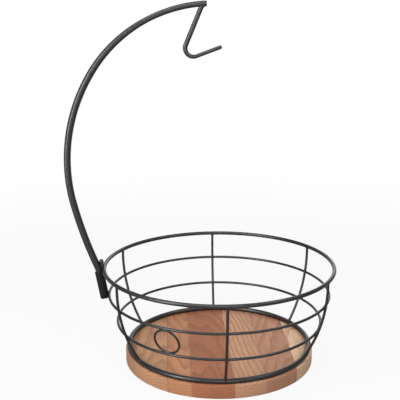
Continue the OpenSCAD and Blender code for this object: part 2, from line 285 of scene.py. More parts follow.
class Route:
    """A path of straight runs and tangent bends in an upright plane.

    A leg is (length, 0) for a run and (radius, turn) for a bend. A positive turn
    lowers the lean, which is the angle from vertical towards the outside.
    """

    def __init__(self, x, z, lean, legs):
        self.legs, self.length = [], 0.0
        for size, turn in legs:
            run = size * abs(turn) if turn else size
            self.legs.append((self.length, run, size, turn, x, z, lean))
            self.length += run
            x, z, lean = self.at(self.length)

    def at(self, s):
        """x, z and lean at one or more distances s along the path.

        On a run x = x0 + s sin(lean) and z = z0 + s cos(lean). On a bend of
        radius r that has turned by a, x = x0 + r (cos(lean - a) - cos(lean)) and
        z = z0 + r (sin(lean) - sin(lean - a)), both mirrored for a negative turn.
        """
        x = z = lean = np.zeros_like(s)
        for start, run, size, turn, x0, z0, lean0 in self.legs:
            here = s >= start - 1e-9
            local = np.clip(s - start, 0, run)
            if turn:
                radius = math.copysign(size, turn)
                now = lean0 - local / radius
                there = (x0 + radius * (np.cos(now) - math.cos(lean0)),
                         z0 + radius * (math.sin(lean0) - np.sin(now)), now)
            else:
                there = (x0 + local * math.sin(lean0), z0 + local * math.cos(lean0),
                         np.full_like(s, lean0))
            x, z, lean = (np.where(here, new, old) for new, old in zip(there, (x, z, lean)))
        return x, z, lean

    def rod(self, knots, gap, sides):
        """A round rod along the path, at the arm's azimuth. Its radius is interpolated
        between the knots (distance, radius), with a row at each knot and every gap."""
        far, radius = np.array(knots).T
        s = np.unique(np.concatenate([np.arange(far[0], far[-1], gap), far]))
        x, z, lean = self.at(s)
        return tube(carried(placed(ARM_AT, x, z), heading(ARM_AT, lean), sideways(ARM_AT),
                            np.interp(s, far, radius), sides))


def carried(path, tangent, side, radius, sides):
    """A round section carried along a path.

    p(i, a) = path(i) + r(i) (cos a n(i) + sin a side), with n(i) = side x tangent(i).
    """
    turn = np.linspace(0, 2 * np.pi, sides, endpoint=False)[:, None]
    normal = np.cross(side, tangent)[:, None]
    radius = np.broadcast_to(radius, (len(path),))[:, None, None]
    return path[:, None] + radius * (np.cos(turn) * normal + np.sin(turn) * side)


def quads(here, ahead):
    """Faces between rows of points, given by number, and the rows ahead of them."""
    beside, beyond = np.roll(here, -1, axis=1), np.roll(ahead, -1, axis=1)
    return np.stack([here, beside, beyond, ahead], axis=-1).reshape(-1, 4).tolist()


def fan(row, middle):
    """Triangles between a closed row of points and one in its middle."""
    return np.stack([row, np.roll(row, -1), np.full_like(row, middle)], axis=-1).tolist()


def numbered(points):
    """The numbers of a grid's points."""
    return np.arange(points[..., 0].size).reshape(points.shape[:2])


def tube(points):
    """Skin of a grid of points: each row runs once round, and a point in the middle
    of the first and of the last row closes the ends."""
    here = numbered(points)
    faces = quads(here[:-1], here[1:]) + fan(here[0][::-1], here.size)
    middles = [points[0].mean(axis=0), points[-1].mean(axis=0)]
    return (np.concatenate([points.reshape(-1, 3), middles]),
            faces + fan(here[-1], here.size + 1))


def loop(points):
    """Skin of a grid of points that joins up both round each row and along them."""
    here = numbered(points)
    return points.reshape(-1, 3), quads(here, np.roll(here, -1, axis=0))


def wire_ring(middle, way_1, way_2, ring_r, wire, around, seam):
    """A closed ring of round wire in the plane of two unit vectors.

    Its path is middle + R (cos u w1 + sin u w2). At the seam, where the ends of the
    wire are butted and ground flush, the section swells by
    0.05 exp(-(d / 1.3 mm)^2) - 0.03 exp(-((d - 2.8 mm) / 0.9 mm)^2), with d along it.
    """
    u = np.linspace(0, 2 * np.pi, around, endpoint=False)
    path = middle + ring_r * (np.outer(np.cos(u), way_1) + np.outer(np.sin(u), way_2))
    tangent = np.outer(-np.sin(u), way_1) + np.outer(np.cos(u), way_2)
    d = ring_r * (np.mod(u - math.radians(seam) + np.pi, 2 * np.pi) - np.pi)
    swell = 0.05 * np.exp(-(d / 0.0013) ** 2) - 0.03 * np.exp(-((d - 0.0028) / 0.0009) ** 2)
    return loop(carried(path, tangent, np.cross(way_1, way_2), wire / 2 * (1 + swell),
                        WIRE_SIDES))


def lathe(profile, foot, axis, side, sides):
    """A profile turned about an axis.

    p(i, a) = foot + h(i) axis + r(i) (cos a side + sin a (axis x side)), where the
    profile's points are (r, h).
    """
    turn = np.linspace(0, 2 * np.pi, sides, endpoint=False)[:, None]
    across = np.cos(turn) * side + np.sin(turn) * np.cross(axis, side)
    r, h = np.array(profile, float).T
    return tube(foot + h[:, None, None] * axis + r[:, None, None] * across)


def lens(spot, way_1, way_2, halves, phase):
    """A lens of weld metal between two crossing wires.

    p(u, v) = spot + k (h1 cos u cos v w1 + h2 sin u cos v w2 + h3 sin v w3), where
    w3 = w1 x w2 and k = 1 + 0.07 sin(3u + phase) cos v makes it a little uneven.
    """
    u = np.linspace(0, 2 * np.pi, 28, endpoint=False)
    v = np.radians(np.linspace(-80, 80, 13))[:, None]
    k = 1 + 0.07 * np.sin(3 * u + phase) * np.cos(v)
    shares = (np.cos(u) * np.cos(v), np.sin(u) * np.cos(v), np.sin(v))
    ways = (way_1, way_2, np.cross(way_1, way_2))
    return tube(spot + sum(np.multiply.outer(k * share * half, way)
                           for share, half, way in zip(shares, halves, ways)))


def collar(host, host_way, host_r, way, wire_r, leg, phase, lobe=0.0):
    """A weld collar round the end of a wire that meets a round host.

    With f(a) on the host one leg outside the wire, g(a) on the wire one leg above
    the host and c(a) in the corner between them, the hollow face is
    p(a, t) = (1 - t)^2 f + 2 t (1 - t) c + t^2 g. The leg varies round the wire by
    1 + 0.1 sin(3a + phase) + 0.06 sin(7a - phase) + lobe cos a. f is sunk into the host
    by 0.06 leg and kept within 0.94 of its radius, c stands 0.2 leg off the corner,
    and g is just under the wire's skin, at 0.985 of its radius.
    """
    way_1 = host_way - way * (host_way @ way)
    way_1 = way_1 / np.linalg.norm(way_1)
    way_2 = np.cross(way, way_1)
    a = np.linspace(0, 2 * np.pi, 40, endpoint=False)
    around = np.outer(np.cos(a), way_1) + np.outer(np.sin(a), way_2)
    legs = leg * (1 + 0.1 * np.sin(3 * a + phase) + 0.06 * np.sin(7 * a - phase)
                  + lobe * np.cos(a))
    across = np.cross(way, host_way)
    reach = np.abs(around @ across) / np.linalg.norm(across)
    out = np.minimum(wire_r + legs, 0.94 * host_r / np.maximum(reach, 1e-6))

    def on_host(radius):
        """Distance along the wire at which a line beside its axis leaves the host."""
        start = radius[:, None] * around
        start = start - np.outer(start @ host_way, host_way)
        step = way - (way @ host_way) * host_way
        half = start @ step
        root = half ** 2 - (step @ step) * ((start ** 2).sum(axis=1) - host_r ** 2)
        return (np.sqrt(np.maximum(root, 0)) - half) / (step @ step)

    corner_s = on_host(np.full_like(a, wire_r))
    foot = out[:, None] * around + np.outer(on_host(out) - 0.06 * leg, way)
    corner = (wire_r + 0.2 * legs)[:, None] * around + np.outer(corner_s + 0.2 * legs, way)
    top = 0.985 * wire_r * around + np.outer(corner_s + legs, way)
    t = np.linspace(0, 1, 9)[:, None, None]
    return tube(host + (1 - t) ** 2 * foot + 2 * t * (1 - t) * corner + t ** 2 * top)


def added(name, data):
    """A new object of the scene that shows the data."""
    made = bpy.data.objects.new(name, data)
    bpy.context.scene.collection.objects.link(made)
    return made


def solid(name, skins):
    """An object whose mesh holds all the skins given."""
    spots, faces, count = [], [], 0
    for points, skin in skins:
        spots.append(points)
        faces += [[i + count for i in face] for face in skin]
        count += len(points)
    mesh = bpy.data.meshes.new(name)
    mesh.from_pydata(np.concatenate(spots).tolist(), [], faces)
    return added(name, mesh)


def smooth(mesh):
    """Shades a mesh smoothly, except at its sharp edges."""
    mesh.shade_smooth()
    mesh.set_sharp_from_angle(angle=SHARP)


def piece(name, skins, material, stands_for=()):
    """Makes one smooth mesh object of the skins and rides it on the bowl's body."""
    made = solid(name, skins)
    smooth(made.data)
    made.data.materials.append(material)
    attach(made, BODY)
    if stands_for:
        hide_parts(*stands_for)
    return made


def coated(name, skins, stands_for=(), coat="satin_black_coat"):
    """A piece of the black metal in one of its two coats."""
    return piece(name, skins, coat_of(coat), stands_for)


def node(tree, kind, inputs=None, **settings):
    """Adds a shader node. Inputs are values, or sockets that are linked to it."""
    made = tree.nodes.new("ShaderNode" + kind)
    for name, value in settings.items():
        setattr(made, name, value)
    for key, value in (inputs or {}).items():
        if isinstance(value, bpy.types.NodeSocket):
            tree.links.new(value, made.inputs[key])
        else:
            made.inputs[key].default_value = value
    return made


def maths(tree, operation, *values):
    """The result of a Math node."""
    return node(tree, "Math", dict(enumerate(values)), operation=operation).outputs[0]


def blended(tree, factor, first, second):
    """The result of a colour mix."""
    return node(tree, "Mix", {0: factor, 6: first, 7: second}, data_type="RGBA").outputs[2]


def ramp(tree, factor, stops, interpolation="LINEAR"):
    """The colour of a ramp whose stops are (place, colour) or (place, level of grey)."""
    made = node(tree, "ValToRGB", {0: factor})
    made.color_ramp.interpolation = interpolation
    elements = made.color_ramp.elements
    for place, _ in stops[2:]:
        elements.new(place)
    for element, (place, value) in zip(elements, stops):
        element.position = place
        element.color = (*np.broadcast_to(value, 3), 1.0)
    return made.outputs[0]


def mapped(tree, value, from_low, from_high, to_low, to_high, **settings):
    """A value carried from one range over to another and held inside it."""
    inputs = dict(enumerate((value, from_low, from_high, to_low, to_high)))
    return node(tree, "MapRange", inputs, **settings).outputs[0]


def scaled(tree, vector, scale, shift=(0, 0, 0)):
    """A vector multiplied part by part, and shifted."""
    return node(tree, "VectorMath", {0: vector, 1: scale, 2: shift},
                operation="MULTIPLY_ADD").outputs[0]


def noise(tree, vector, scale, detail, roughness=0.5):
    """The value of a noise at a vector."""
    return node(tree, "TexNoise", {"Vector": vector, "Scale": scale, "Detail": detail,
                                   "Roughness": roughness}).outputs["Fac"]


def new_material(name):
    """An empty material, its node tree, its shader and the Object coordinates."""
    material = bpy.data.materials.new(name)
    material.use_nodes = True
    tree = material.node_tree
    shader = tree.nodes["Principled BSDF"]
    return material, tree, shader, node(tree, "TexCoord").outputs["Object"]


def dress(tree, shader, colour, rough, height, relief):
    """Gives a shader its colour, its roughness and bumps that stand up by the relief."""
    bump = node(tree, "Bump", {"Height": height, "Distance": relief}).outputs[0]
    for name, socket in (("Base Color", colour), ("Roughness", rough), ("Normal", bump)):
        tree.links.new(socket, shader.inputs[name])


def powder_coat(name, roughness, sheen):
    """Black powder coat: a fine orange-peel skin, with finger-wide patches that are a
    little browner and rougher."""
    coat = bpy.context.scene.bowl_coat
    material, tree, shader, place = new_material(name)
    peel = noise(tree, place, 1 / coat.grain, 0.0)
    patch = noise(tree, place, 60.0, 1.0)
    brown = [part * more for part, more in zip(coat.black, (1.35, 1.15, 1.1))]
    dress(tree, shader, blended(tree, patch, (*coat.black, 1), (*brown, 1)),
          mapped(tree, patch, 0.3, 0.7, roughness - 0.02, roughness + 0.02), peel, coat.relief)
    shader.inputs["Specular IOR Level"].default_value = sheen
    return material


def coat_of(name):
    """The coat for wires and arm, or the matter one for the socket, made once."""
    coat = bpy.context.scene.bowl_coat
    looks = {"satin_black_coat": (coat.gloss, coat.sheen),
             "matt_black_coat": (coat.matt, coat.matt_sheen)}[name]
    return bpy.data.materials.get(name) or powder_coat(name, *looks)


def zinc_plate():
    """Zinc-plated steel with fine turning marks."""
    zinc = bpy.context.scene.bowl_coat.zinc
    dull = [part * 0.72 for part in zinc]
    material, tree, shader, place = new_material("zinc_plate")
    marks = noise(tree, scaled(tree, place, (2500, 2500, 9000)), 1.0, 2.0)
    dress(tree, shader, blended(tree, marks, (*dull, 1), (*zinc, 1)),
          mapped(tree, marks, 0, 1, 0.25, 0.5), marks, 0.00002)
    shader.inputs["Metallic"].default_value = 1.0
    return material


# Staves from -X to +X: right edge, tone, the shift that picks each one's own figure, and
# the heart of its tree: x, rise along Y and z
STAVES = [
    (-0.095, "fawn", (0.11, 0.35, 0.62), (-0.12, 0.05, -0.09)),
    (-0.06, "tan", (0.73, 0.1, 0.35), (-0.066, -0.06, -0.1)),
    (-0.0345, "honey", (0.34, 0.62, 0.8), (-0.028, 0.07, -0.12)),
    (0.0097, "brown", (0.92, 0.45, 0.15), (-0.03, -0.05, -0.14)),
    (0.0445, "light", (0.18, 0.82, 0.48), (0.085, 0.06, -0.062)),
    (0.0795, "rosy", (0.58, 0.25, 0.93), (0.092, -0.07, -0.1)),
    (0.11, "cream", (0.42, 0.93, 0.27), (0.07, 0.05, -0.11)),
]
HEART_SPAN = 0.4


def oiled_wood():
    """Edge-glued staves of light hardwood, with their grain along Y.

    Each stave has its own tone and its own piece of the figure. Its growth rings
    are cylinders about the heart of its tree, which rises a little along Y, so
    they show as long flames on top and as arcs at the front. Fine fibres and pores
    are noise drawn out along Y.
    """
    wood = bpy.context.scene.bowl_wood
    material, tree, shader, place = new_material("oiled_wood")
    x, y, z = node(tree, "SeparateXYZ", {0: place}).outputs
    across = mapped(tree, x, -BASE_R, BASE_R, 0, 1)
    places = [0.0] + [(stave[0] + BASE_R) / (2 * BASE_R) for stave in STAVES[:-1]]

    def by_stave(values):
        """A colour or vector that each stave has of its own."""
        return ramp(tree, across, list(zip(places, values)), "CONSTANT")

    base = by_stave([getattr(wood, stave[1]) for stave in STAVES])
    own = scaled(tree, by_stave([stave[2] for stave in STAVES]), (0.35, 0.5, 0.12), place)
    heart = scaled(tree, by_stave([np.array(stave[3]) / HEART_SPAN + 0.5 for stave in STAVES]),
                   (HEART_SPAN,) * 3, (-HEART_SPAN / 2,) * 3)
    heart_x, rise, heart_z = node(tree, "SeparateXYZ", {0: heart}).outputs

    beside = maths(tree, "SUBTRACT", x, heart_x)
    above = maths(tree, "SUBTRACT", z, maths(tree, "MULTIPLY_ADD", rise, y, heart_z))
    away = maths(tree, "SQRT", maths(tree, "MULTIPLY_ADD", beside, beside,
                                     maths(tree, "MULTIPLY", above, above)))
    wander = noise(tree, scaled(tree, own, (34, 7, 34)), 1.0, 4.0)
    grown = maths(tree, "MULTIPLY_ADD", wander, 0.011, away)
    phase = maths(tree, "FRACT", maths(tree, "DIVIDE", grown, wood.ring_gap))
    late = ramp(tree, phase, [(0, 0), (0.45, 0.2), (0.86, 1), (1, 0)])
    fibre = noise(tree, scaled(tree, own, (1400, 28, 1400)), 1.0, 4.0, 0.6)
    pore = noise(tree, scaled(tree, own, (2600, 110, 2600)), 1.0, 1.0)
    pores = mapped(tree, pore, 0.62, 0.7, 0, 1)
    cloud = noise(tree, scaled(tree, own, (40, 14, 40)), 1.0, 4.0)
    width = wood.glue_w / (2 * BASE_R)
    joint = ramp(tree, across, [(p + k * width, level) for p in places[1:]
                                for k, level in ((-1, 0), (0, 1), (1, 0))])

    strength = maths(tree, "MULTIPLY", late, maths(tree, "MULTIPLY", cloud, 2 * wood.figure))
    shade = blended(tree, strength, base, (*wood.late, 1))
    streaks = mapped(tree, fibre, 0.3, 0.7, 0.86, 1.12)
    mottle = mapped(tree, cloud, 0.3, 0.7, 0.9, 1.1)
    shade = scaled(tree, shade, maths(tree, "MULTIPLY", streaks, mottle))
    for marks, cover in ((pores, 0.35), (joint, 0.7)):
        shade = blended(tree, maths(tree, "MULTIPLY", marks, cover), shade, (*wood.glue, 1))
    hollow = maths(tree, "ADD", maths(tree, "MULTIPLY", pores, 0.5), joint)
    dress(tree, shader, shade,
          mapped(tree, fibre, 0.3, 0.7, wood.roughness - 0.06, wood.roughness + 0.1),
          maths(tree, "SUBTRACT", fibre, hollow), 0.00006)
    shader.inputs["Specular IOR Level"].default_value = 0.25
    return material


class SideArc:
    """The arc of the basket's side: vertical at a given height, and through the wire
    centres of the rim and the bottom ring."""

    def __init__(self, upright_z):
        inward, high = RIM_R - FOOT_R, upright_z - FOOT_Z
        self.z = upright_z
        self.r = (inward ** 2 + high ** 2) / (2 * inward)
        self.x = RIM_R - self.r
        self.low = -math.asin(high / self.r)
        self.high = math.asin((RIM_Z - upright_z) / self.r)

    def at(self, t):
        """x and z of the arc at the angle t above level."""
        return self.x + self.r * np.cos(t), self.z + self.r * np.sin(t)


class FRUITBOWL_OT_rings(bpy.types.Operator):
    """Builds the rim, the two hoops and the bottom ring as closed rings of round wire"""

    bl_idname = "fruitbowl.rings"
    bl_label = "Rim, hoops and bottom ring"

    def execute(self, context):
        for name, seam in SEAMS.items():
            radius, height, wire = ring_size(name)
            skin = wire_ring(height * UP, outward(0), sideways(0), radius, wire, RING_STEPS, seam)
            coated(name + "_wire", [skin], [name])
        return {"FINISHED"}


class FRUITBOWL_OT_uprights(bpy.types.Operator):
    """Builds the six curved uprights of the basket"""

    bl_idname = "fruitbowl.uprights"
    bl_label = "Uprights"

    def execute(self, context):
        basket = context.scene.bowl_basket
        arc = SideArc(basket.upright_z)
        t = np.linspace(arc.low, arc.high, UPRIGHT_STEPS)
        for name, azimuth in UPRIGHTS.items():
            grid = carried(placed(azimuth, *arc.at(t)), heading(azimuth, -t),
                           sideways(azimuth), basket.upright_wire / 2, WIRE_SIDES)
            coated(name + "_wire", [tube(grid)], [name])
        return {"FINISHED"}


def small_ring_place(basket):
    """Middle, upward way and radius of the small ring in the basket's wall."""
    gap = math.hypot(UPPER_R - LOWER_R, UPPER_Z - LOWER_Z)
    lean = math.atan2(UPPER_R - LOWER_R, UPPER_Z - LOWER_Z)
    radius = (gap - HOOP_WIRE - basket.accent_wire) / 2 + basket.weld_set
    middle = placed(ACCENT_AT, (UPPER_R + LOWER_R) / 2, (UPPER_Z + LOWER_Z) / 2)
    return middle, heading(ACCENT_AT, lean), radius


class FRUITBOWL_OT_small_ring(bpy.types.Operator):
    """Builds the small ring that stands in the basket's wall between the hoops"""

    bl_idname = "fruitbowl.small_ring"
    bl_label = "Small ring"

    def execute(self, context):
        basket = context.scene.bowl_basket
        middle, up, radius = small_ring_place(basket)
        skin = wire_ring(middle, sideways(ACCENT_AT), up, radius, basket.accent_wire,
                         SMALL_RING_STEPS, SMALL_SEAM)
        coated("small_ring_wire", [skin], ["accent_ring"])
        return {"FINISHED"}


class HangerPlace:
    """Where the socket, the arm and the hook stand, worked out from the basket."""

    def __init__(self, scene):
        hanger, basket = scene.bowl_hanger, scene.bowl_basket
        wall = math.hypot(RIM_R - UPPER_R, RIM_Z - UPPER_Z)
        lean = math.atan2(RIM_R - UPPER_R, RIM_Z - UPPER_Z)
        self.lean = lean + math.asin((RIM_WIRE - HOOP_WIRE) / 2 / wall)
        off = (RIM_WIRE + hanger.socket_d) / 2 - basket.weld_set
        x, z = RIM_R + off * math.cos(self.lean), RIM_Z - off * math.sin(self.lean)
        run = (hanger.socket_top_z - z) / math.cos(self.lean)
        self.mouth = (x + run * math.sin(self.lean), hanger.socket_top_z)
        inside = hanger.socket_len - hanger.socket_floor
        self.spigot_len = inside + hanger.foot_gap
        sweeps = [(hanger.bend_r, self.lean - hanger.arm_lean), (hanger.foot_r, hanger.foot_turn),
                  (hanger.low_r, hanger.low_turn), (hanger.high_r, hanger.high_turn)]
        self.arm = Route(self.mouth[0] - inside * math.sin(self.lean),
                         self.mouth[1] - inside * math.cos(self.lean), self.lean,
                         [(self.spigot_len, 0), *sweeps])
        *self.root, self.root_lean = self.arm.at(self.arm.length - hanger.hook_root)
        self.shank = math.pi - hanger.shank_lean
        turn = math.pi / 2 + hanger.shank_lean + hanger.tail_rise
        legs = [(hanger.shank_len, 0), (hanger.hook_bend_r, -turn), (hanger.tail_len, 0)]
        self.hook = Route(*self.root, self.shank, legs)


class FRUITBOWL_OT_socket(bpy.types.Operator):
    """Builds the socket tube with its floor and softened lips"""

    bl_idname = "fruitbowl.socket"
    bl_label = "Arm socket"

    def execute(self, context):
        hanger, place = context.scene.bowl_hanger, HangerPlace(context.scene)
        axis = heading(ARM_AT, place.lean)
        foot = placed(ARM_AT, *place.mouth) - hanger.socket_len * axis
        outer, top, edge = hanger.socket_d / 2, hanger.socket_len, hanger.lip_round
        inner = outer - hanger.socket_wall
        profile = np.concatenate([
            rounding(outer - edge, edge, edge, -90, 0, 5),
            rounding(outer - edge, top - edge, edge, 0, 90, 5),
            rounding(inner + edge, top - edge, edge, 90, 180, 5),
            [[inner, hanger.socket_floor]]])
        coated("arm_socket_tube", [lathe(profile, foot, axis, sideways(ARM_AT), SOCKET_SIDES)],
               ["arm_socket"], "matt_black_coat")
        return {"FINISHED"}


class FRUITBOWL_OT_rest(bpy.types.Operator):
    """Builds the rounded lug that backs the arm above the socket's mouth"""

    bl_idname = "fruitbowl.rest"
    bl_label = "Arm rest"

    def execute(self, context):
        hanger, place = context.scene.bowl_hanger, HangerPlace(context.scene)
        head_z = RIM_Z + hanger.rest_rise - hanger.rest_head_r
        s = np.linspace(place.spigot_len, place.arm.length / 3, 2000)
        x, z, lean = place.arm.at(s)
        level = int(np.argmin(np.abs(z - head_z)))
        off = hanger.arm_d / 2 + hanger.rest_play + hanger.rest_head_r
        head = np.array([x[level] - off / math.cos(lean[level]), head_z])
        foot = np.array([place.mouth[0] - hanger.socket_d / 2 + hanger.socket_wall / 2,
                         hanger.socket_top_z])
        coated("arm_rest_lug", [self.tongue(hanger, foot, head)], ["arm_rest"])
        return {"FINISHED"}

    @staticmethod
    def tongue(hanger, foot, head):
        """A flattened round tongue from its foot up to a domed head.

        p(i, a) = c(i) + t(i) cos a n + w(i) sin a side, with powers 0.8 of the sine and
        cosine that fill the corners out. Over the run t grows from half the socket's
        wall to the head's radius, and w from 0.9 of half the width to all of it. Over
        the head both close with the cosine of the dome's angle, w with its power 0.7.
        """
        run = np.linalg.norm(head - foot)
        way = (head - foot) / run
        dome = np.radians(np.linspace(0, 84, 14))[1:]
        s = np.concatenate([np.linspace(0, run, 20), run + hanger.rest_head_r * np.sin(dome)])
        close = np.concatenate([np.ones(20), np.cos(dome)])
        grow = np.clip(s / run, 0, 1)
        thick = np.interp(grow, [0, 1], [hanger.socket_wall / 2, hanger.rest_head_r]) * close
        wide = hanger.rest_w / 2 * (0.9 + 0.1 * grow) * close ** 0.7
        a = np.linspace(0, 2 * np.pi, 40, endpoint=False)
        ca, sa = (np.sign(v) * np.abs(v) ** 0.8 for v in (np.cos(a), np.sin(a)))
        normal = np.cross(sideways(ARM_AT), placed(ARM_AT, *way))
        middle = placed(ARM_AT, foot[0] + s * way[0], foot[1] + s * way[1])
        return tube(middle[:, None] + np.outer(thick, ca)[..., None] * normal
                    + np.outer(wide, sa)[..., None] * sideways(ARM_AT))


class FRUITBOWL_OT_arm(bpy.types.Operator):
    """Builds the curved arm, from its end in the socket to its square-cut tip"""

    bl_idname = "fruitbowl.arm"
    bl_label = "Hanger arm"

    def execute(self, context):
        hanger, place = context.scene.bowl_hanger, HangerPlace(context.scene)
        thin = hanger.socket_d / 2 - hanger.socket_wall - hanger.socket_play
        thick, tip, edge = hanger.arm_d / 2, hanger.arm_tip_d / 2, hanger.arm_round
        foot, end = place.spigot_len, place.arm.length
        taper = end - hanger.high_r * hanger.high_turn
        narrow = taper + hanger.high_r * hanger.taper_turn
        knots = [(0, thin - edge), (edge, thin), (foot - 1e-6, thin), (foot, thick - edge),
                 (foot + edge, thick), (taper, thick), (narrow, tip), (end - edge, tip),
                 (end, tip - edge)]
        coated("hanger_arm_rod", [place.arm.rod(knots, ARM_GAP, ARM_SIDES)], ["hanger_arm"])
        return {"FINISHED"}


class FRUITBOWL_OT_hook(bpy.types.Operator):
    """Builds the bent hook under the arm's tip, with the weld round its root"""

    bl_idname = "fruitbowl.hook"
    bl_label = "Banana hook"

    def execute(self, context):
        hanger, place = context.scene.bowl_hanger, HangerPlace(context.scene)
        r, thin, edge = hanger.hook_wire / 2, hanger.tail_wire / 2, hanger.tail_round
        end = place.hook.length
        knots = [(0, r), (hanger.shank_len, r), (end - hanger.tail_len, thin),
                 *rounding(end - edge, thin - edge, edge, 90, 0, 6)]
        rod = place.hook.rod(knots, HOOK_GAP, HOOK_SIDES)
        weld = collar(placed(ARM_AT, *place.root), heading(ARM_AT, place.root_lean),
                      hanger.arm_tip_d / 2, heading(ARM_AT, place.shank), r,
                      hanger.hook_weld, 1.0, lobe=0.45)
        coated("banana_hook_wire", [rod, weld], ["banana_hook"])
        return {"FINISHED"}


class FRUITBOWL_OT_welds(bpy.types.Operator):
    """Builds the welds: a collar at each end of an upright and a lens at each crossing"""

    bl_idname = "fruitbowl.welds"
    bl_label = "Welds"

    def execute(self, context):
        basket = context.scene.bowl_basket
        ends, crossings = self.uprights(basket)
        coated("upright_end_welds", ends)
        coated("hoop_crossing_welds", crossings)
        coated("small_ring_welds", self.small_ring(basket))
        coated("socket_welds", self.socket(context.scene), coat="matt_black_coat")
        return {"FINISHED"}

    @staticmethod
    def uprights(basket):
        """Collars where the uprights meet the rim and the bottom ring, and lenses where
        they cross the two hoops inside them."""
        arc = SideArc(basket.upright_z)
        meets = [(RIM_R, RIM_Z, RIM_WIRE, arc.high, -1), (FOOT_R, FOOT_Z, FOOT_WIRE, arc.low, 1)]
        reach = (HOOP_WIRE - basket.weld_set) / 2
        ends, crossings = [], []
        for azimuth in UPRIGHTS.values():
            side = sideways(azimuth)
            ends += [collar(placed(azimuth, r, z), side, wire / 2, sign * heading(azimuth, -t),
                            basket.upright_wire / 2, basket.weld_leg, 5 * azimuth + sign)
                     for r, z, wire, t, sign in meets]
            for r, z in ((UPPER_R, UPPER_Z), (LOWER_R, LOWER_Z)):
                t = math.atan2(z - arc.z, r - arc.x)
                spot = placed(azimuth, r + reach * math.cos(t), z + reach * math.sin(t))
                crossings.append(lens(spot, side, heading(azimuth, -t), CROSSING_LENS,
                                      7 * azimuth + 40 * z))
        return ends, crossings

    @staticmethod
    def small_ring(basket):
        """Lenses where the small ring lies against the two hoops."""
        middle, up, radius = small_ring_place(basket)
        level = sideways(ACCENT_AT)
        reach = radius + (basket.accent_wire - basket.weld_set) / 2
        return [lens(middle + sign * reach * up, level, np.cross(up, level), SMALL_RING_LENS,
                     sign) for sign in (-1, 1)]

    @staticmethod
    def socket(scene):
        """Lenses between the socket and the rim and upper hoop, and one under the rest."""
        hanger, basket, place = scene.bowl_hanger, scene.bowl_basket, HangerPlace(scene)
        axis, side = heading(ARM_AT, place.lean), sideways(ARM_AT)
        away = heading(ARM_AT, place.lean + math.pi / 2)
        meets = ((RIM_R, RIM_Z, RIM_WIRE, RIM_LENS), (UPPER_R, UPPER_Z, HOOP_WIRE, HOOP_LENS))
        inner = placed(ARM_AT, *place.mouth) - away * (hanger.socket_d - hanger.socket_wall) / 2
        found = [lens(placed(ARM_AT, r, z) + away * (wire - basket.weld_set) / 2, side, axis,
                      halves, 90 * z) for r, z, wire, halves in meets]
        return found + [lens(inner, side, away, REST_LENS, 2.0)]


class FRUITBOWL_OT_base(bpy.types.Operator):
    """Builds the turned wooden base with its seat and its screw holes"""

    bl_idname = "fruitbowl.base"
    bl_label = "Wooden base"

    def execute(self, context):
        wood = context.scene.bowl_wood
        disc = lathe(self.profile(wood), np.zeros(3), UP, outward(0), BASE_STEPS)
        made = piece("wood_base_disc", [disc], oiled_wood(), ["wood_base"])
        drilled(made, [lathe(self.hole(wood), FOOT_R * outward(a), UP, outward(a), HOLE_SIDES)
                       for a in SCREWS_AT])
        return {"FINISHED"}

    @staticmethod
    def profile(wood):
        """Half section of the base, from the middle of its underside to the middle of its top.

        Quarter circles round its two edges, and the seat is an arc of the bottom ring's
        section, made wider by the play. Rows on the flat parts keep the faces short.
        """
        low, top, seat_r = wood.foot_round, wood.top_round, FOOT_WIRE / 2 + wood.seat_play
        half = math.degrees(math.acos((FOOT_Z - BASE_T) / seat_r))
        return np.concatenate([
            [[r, 0.0] for r in (0.03, 0.06, 0.09, 0.1)],
            rounding(BASE_R - low, low, low, -90, 0),
            rounding(BASE_R - top, BASE_T - top, top, 0, 90),
            rounding(FOOT_R, FOOT_Z, seat_r, half - 90, -half - 90),
            [[r, BASE_T] for r in (0.09, 0.06, 0.03)]])

    @staticmethod
    def hole(wood):
        """Half section of the cutter for one countersunk screw hole, 1 mm past both faces."""
        head, shank, deep = wood.screw_head_r, wood.screw_r, wood.screw_sink
        return [(head, -0.001), (head, deep), (shank, deep + head - shank),
                (shank, BASE_T + 0.001)]


def drilled(target, cutters):
    """Cuts the closed skins out of an object's mesh, and keeps its material."""
    tool = solid("cutters", cutters)
    cut = target.modifiers.new("holes", "BOOLEAN")
    cut.operation, cut.solver, cut.object = "DIFFERENCE", "EXACT", tool
    done = bpy.data.meshes.new_from_object(target.evaluated_get(
        bpy.context.evaluated_depsgraph_get()))
    target.modifiers.remove(cut)
    target.data = done
    smooth(done)
    bpy.data.objects.remove(tool)


class FRUITBOWL_OT_screws(bpy.types.Operator):
    """Gives the three screws under the base their zinc finish"""

    bl_idname = "fruitbowl.screws"
    bl_label = "Base screws"

    def execute(self, context):
        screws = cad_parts["base_screws"]
        screws.data.materials.clear()
        screws.data.materials.append(zinc_plate())
        return {"FINISHED"}


